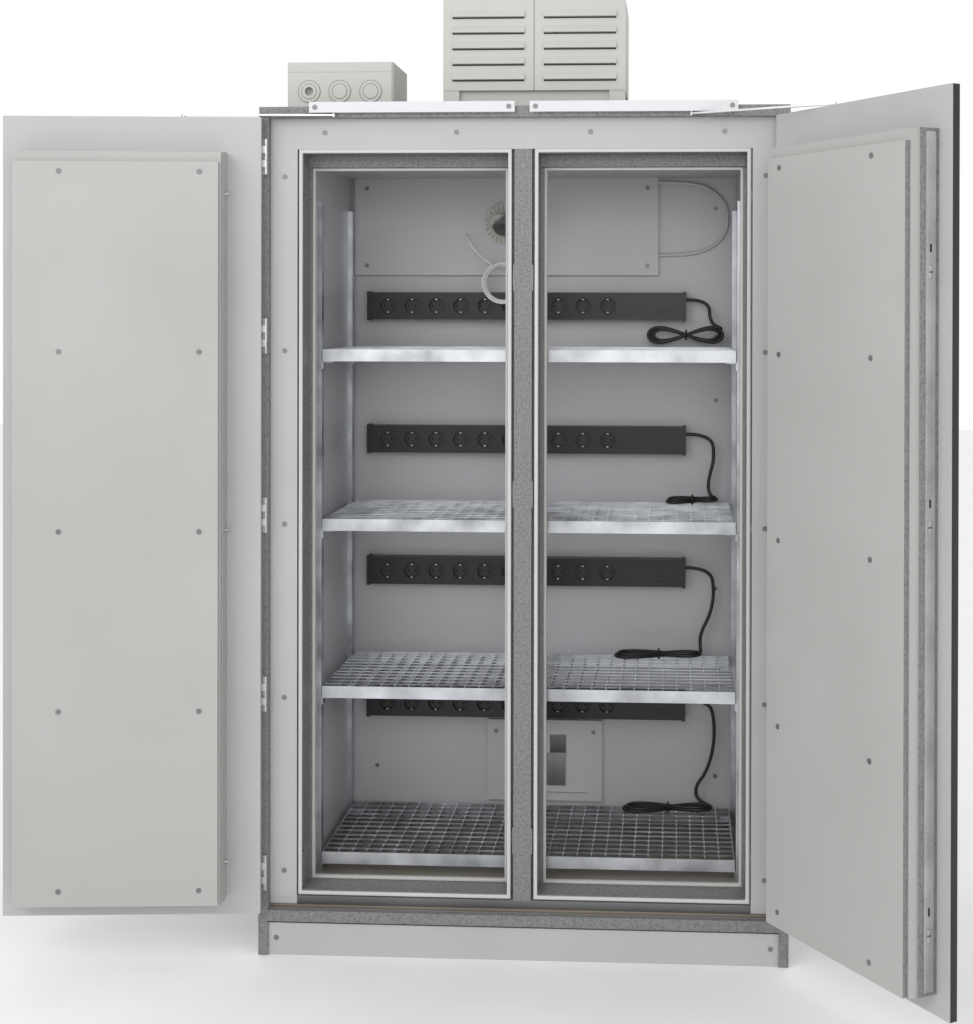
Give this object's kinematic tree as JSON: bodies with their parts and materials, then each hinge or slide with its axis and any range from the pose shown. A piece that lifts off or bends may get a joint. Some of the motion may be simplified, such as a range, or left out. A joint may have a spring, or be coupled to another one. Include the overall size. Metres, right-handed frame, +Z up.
{
  "type": "battery cabinet",
  "caption": "Insulated upright cabinet with two hinged doors, grating shelves and power strips for storing and charging batteries.",
  "frame": {"origin": "on the floor under the middle of the cabinet's footprint", "axes": "+X to the right seen from the front, the front faces -Y, +Z up"},
  "size_m": [2.0585, 1.136, 2.182],
  "materials": {
    "speckled_board": "matt, finely speckled",
    "pale_panel": "smooth, half matt",
    "floor_lining": "matt",
    "pale_profile": "smooth",
    "box_plastic": "fine grain",
    "galvanised": "galvanised",
    "black_aluminium": "black anodised",
    "socket_black": "fine grain",
    "cord_rubber": "matt",
    "cable_grey": "smooth",
    "white_channel": "smooth",
    "steel": "zinc plated",
    "handle_black": "fine grain"
  },
  "bodies": {
    "cabinet": {"air_valve": "box_plastic", "back_panel": "pale_panel", "bottom_board": "speckled_board", "cabinet_fasteners": "steel", "closer_channels": "white_channel", "face_frame": "pale_panel", "frame_hinges": "steel", "grating_shelf_1": "galvanised", "grating_shelf_2": "galvanised", "grating_shelf_3": "galvanised", "grating_shelf_4": "galvanised", "hank_1": "cord_rubber", "hank_2": "cord_rubber", "hank_3": "cord_rubber", "hank_4": "cord_rubber", "inner_frame": "speckled_board", "junction_box": "box_plastic", "lead_1": "cord_rubber", "lead_2": "cord_rubber", "lead_3": "cord_rubber", "lead_4": "cord_rubber", "mullion": "speckled_board", "plinth_frame": "pale_panel", "plinth_front": "pale_panel", "power_strip_1": "black_aluminium", "power_strip_2": "black_aluminium", "power_strip_3": "black_aluminium", "power_strip_4": "black_aluminium", "seal_profiles": "pale_profile", "side_panel_left": "speckled_board", "side_panel_right": "speckled_board", "strip_fittings": "socket_black", "throat_left": "speckled_board", "throat_right": "speckled_board", "top_board": "speckled_board", "upper_cover": "pale_panel", "uprights": "galvanised", "vent_cover": "pale_panel", "vent_housing": "box_plastic", "wall_cables": "cable_grey", "wall_floor": "floor_lining", "wall_left": "pale_panel", "wall_right": "pale_panel", "wall_roof": "pale_panel"},
    "left_door": {"left_door_board": "pale_panel", "left_door_core": "speckled_board", "left_door_lining": "pale_panel", "left_door_hardware": "steel"},
    "left_bolts": {"left_door_bolts": "steel"},
    "left_handle": {"left_door_handle": "handle_black"},
    "left_slider": {"left_closer_slider": "steel"},
    "left_arm": {"left_closer_arm": "steel"},
    "right_door": {"right_door_board": "pale_panel", "right_door_core": "speckled_board", "right_door_lining": "pale_panel", "right_door_hardware": "steel"},
    "right_bolts": {"right_door_bolts": "steel"},
    "right_handle": {"right_door_handle": "handle_black"},
    "right_slider": {"right_closer_slider": "steel"},
    "right_arm": {"right_closer_arm": "steel"}
  },
  "joints": [
    {"name": "left_door_hinge", "type": "hinge", "parent": "cabinet", "child": "left_door", "pos_m": [-0.583, -0.316, 1.002], "axis": [0, 0, 1], "range_deg": [0, 175]},
    {"name": "left_handle_turn", "type": "hinge", "parent": "left_door", "child": "left_handle", "pos_m": [-1.10102, -0.36132, 1.05], "axis": [-0.0872, 0.9962, 0], "range_deg": [0, 60]},
    {"name": "left_bolt_slide", "type": "slide", "parent": "left_door", "child": "left_bolts", "axis": [-0.9962, -0.0872, 0], "range_m": [0, 0.008]},
    {"name": "left_slider_slide", "type": "slide", "parent": "cabinet", "child": "left_slider", "axis": [1, 0, 0], "range_m": [0, 0.3698]},
    {"name": "left_arm_turn", "type": "hinge", "parent": "left_slider", "child": "left_arm", "pos_m": [-0.42768, -0.316, 1.9075], "axis": [0, 0, 1], "range_deg": [-2.74, 0]},
    {"name": "right_door_hinge", "type": "hinge", "parent": "cabinet", "child": "right_door", "pos_m": [0.583, -0.316, 1.002], "axis": [0, 0, -1], "range_deg": [-53, 122]},
    {"name": "right_handle_turn", "type": "hinge", "parent": "right_door", "child": "right_handle", "pos_m": [0.85856, -0.75699, 1.05], "axis": [-0.848, -0.5299, 0], "range_deg": [0, 60]},
    {"name": "right_bolt_slide", "type": "slide", "parent": "right_door", "child": "right_bolts", "axis": [0.5299, -0.848, 0], "range_m": [0, 0.008]},
    {"name": "right_slider_slide", "type": "slide", "parent": "cabinet", "child": "right_slider", "axis": [-1, 0, 0], "range_m": [-0.0906, 0.20842]},
    {"name": "right_arm_turn", "type": "hinge", "parent": "right_slider", "child": "right_arm", "pos_m": [0.3794, -0.316, 1.9075], "axis": [0, 0, 1], "range_deg": [-11.96, 27.5]}
  ],
  "couplings": [
    {"joint": "left_bolt_slide", "follows": "left_handle_turn", "m_per_rad": 0.007638},
    {"joint": "left_slider_slide", "follows": "left_door_hinge", "m_per_rad": 0.12104},
    {"joint": "left_arm_turn", "follows": "left_door_hinge", "ratio": -0.015532},
    {"joint": "right_bolt_slide", "follows": "right_handle_turn", "m_per_rad": 0.007638},
    {"joint": "right_slider_slide", "follows": "right_door_hinge", "m_per_rad": 0.097835},
    {"joint": "right_arm_turn", "follows": "right_door_hinge", "ratio": 0.22525}
  ]
}
